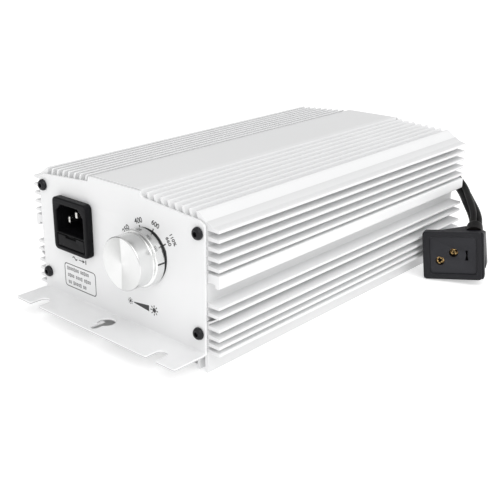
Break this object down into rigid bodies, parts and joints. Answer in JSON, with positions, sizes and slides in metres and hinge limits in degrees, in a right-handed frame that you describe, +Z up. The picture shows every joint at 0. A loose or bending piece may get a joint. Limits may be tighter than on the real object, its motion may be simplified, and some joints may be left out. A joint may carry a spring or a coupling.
{
  "type": "grow lamp ballast",
  "caption": "Dimmable electronic ballast for a grow lamp: finned white extruded case, mounting flanges, fused mains inlet, stepped dimmer knob and a short lead with a lamp socket.",
  "frame": {"origin": "floor level under the middle of the case, without the lamp lead", "axes": "+Y along the case from the control end to the lead end, +Z up, +X to the right seen from the control end"},
  "size_m": [0.1966, 0.3297, 0.0922],
  "materials": {
    "white_coat": "satin white powder coat on aluminium extrusion and sheet",
    "black_oxide": "black oxide steel",
    "inlet_black": "semi-gloss black nylon",
    "nickel_pin": "nickel-plated brass",
    "fuse_tube": "glass tube with metal caps",
    "turned_aluminium": "turned and spun, clear anodised",
    "plain_aluminium": "mill finish",
    "steel": "zinc-plated steel",
    "black_housing": "moulded black plastic",
    "insulation": "amber insulating film",
    "board": "green solder mask on glass-fibre laminate",
    "ferrite": "dark sintered ferrite",
    "winding": "enamelled copper wire",
    "film_block": "yellow moulded box capacitor",
    "capacitor_sleeve": "dark shrink sleeve on an aluminium can",
    "brown_wire": "brown insulated wire",
    "blue_wire": "blue insulated wire",
    "green_wire": "green insulated wire",
    "ribbon": "grey ribbon cable",
    "cord_jacket": "black flexible jacket over three cores",
    "socket_plastic": "charcoal moulded plastic",
    "socket_brass": "brass spring contacts"
  },
  "bodies": {
    "case": {"upper_shell": "white_coat", "lower_shell": "white_coat", "front_plate": "white_coat", "rear_plate": "white_coat", "front_screw_upper_left": "black_oxide", "front_screw_upper_right": "black_oxide", "front_screw_lower_left": "black_oxide", "front_screw_lower_right": "black_oxide", "rear_screw_upper_left": "black_oxide", "rear_screw_upper_right": "black_oxide", "rear_screw_lower_left": "black_oxide", "rear_screw_lower_right": "black_oxide", "inlet_body": "inlet_black", "inlet_pin_line": "nickel_pin", "inlet_pin_neutral": "nickel_pin", "inlet_pin_earth": "nickel_pin", "heat_spreader": "plain_aluminium", "switch_nut": "steel", "switch_washer": "steel", "rotary_switch": "black_housing", "mains_relay": "black_housing", "bridge_rectifier": "black_housing", "power_transistor_1": "black_housing", "power_transistor_2": "black_housing", "power_transistor_3": "black_housing", "power_transistor_4": "black_housing", "cord_gland": "black_housing", "gland_nut": "black_housing", "insulation_sheet": "insulation", "circuit_board": "board", "control_board": "board", "pfc_inductor_core": "ferrite", "lamp_inductor_core": "ferrite", "common_mode_choke": "winding", "pfc_inductor_coil": "winding", "lamp_inductor_coil": "winding", "igniter_coil": "winding", "film_capacitor_1": "film_block", "film_capacitor_2": "film_block", "film_capacitor_3": "film_block", "bulk_capacitor_1": "capacitor_sleeve", "bulk_capacitor_2": "capacitor_sleeve", "bulk_capacitor_3": "capacitor_sleeve", "line_wire": "brown_wire", "output_wire_live": "brown_wire", "neutral_wire": "blue_wire", "output_wire_return": "blue_wire", "earth_wire": "green_wire", "switch_ribbon": "ribbon", "output_cord": "cord_jacket", "socket_face": "socket_plastic", "socket_back": "socket_plastic", "socket_contact_1": "socket_brass", "socket_contact_2": "socket_brass"},
    "dimmer": {"dimmer_knob": "turned_aluminium", "knob_set_screw": "black_oxide", "switch_shaft": "steel"},
    "fuse_tray": {"fuse_drawer": "inlet_black", "fuse": "fuse_tube", "spare_fuse": "fuse_tube"}
  },
  "joints": [
    {"name": "dimmer_turn", "type": "hinge", "parent": "case", "child": "dimmer", "pos_m": [0.0242, -0.14, 0.056], "axis": [0, -1, 0], "range_deg": [0, 144]},
    {"name": "fuse_drawer_slide", "type": "slide", "parent": "case", "child": "fuse_tray", "axis": [0, -1, 0], "range_m": [0, 0.016]}
  ]
}
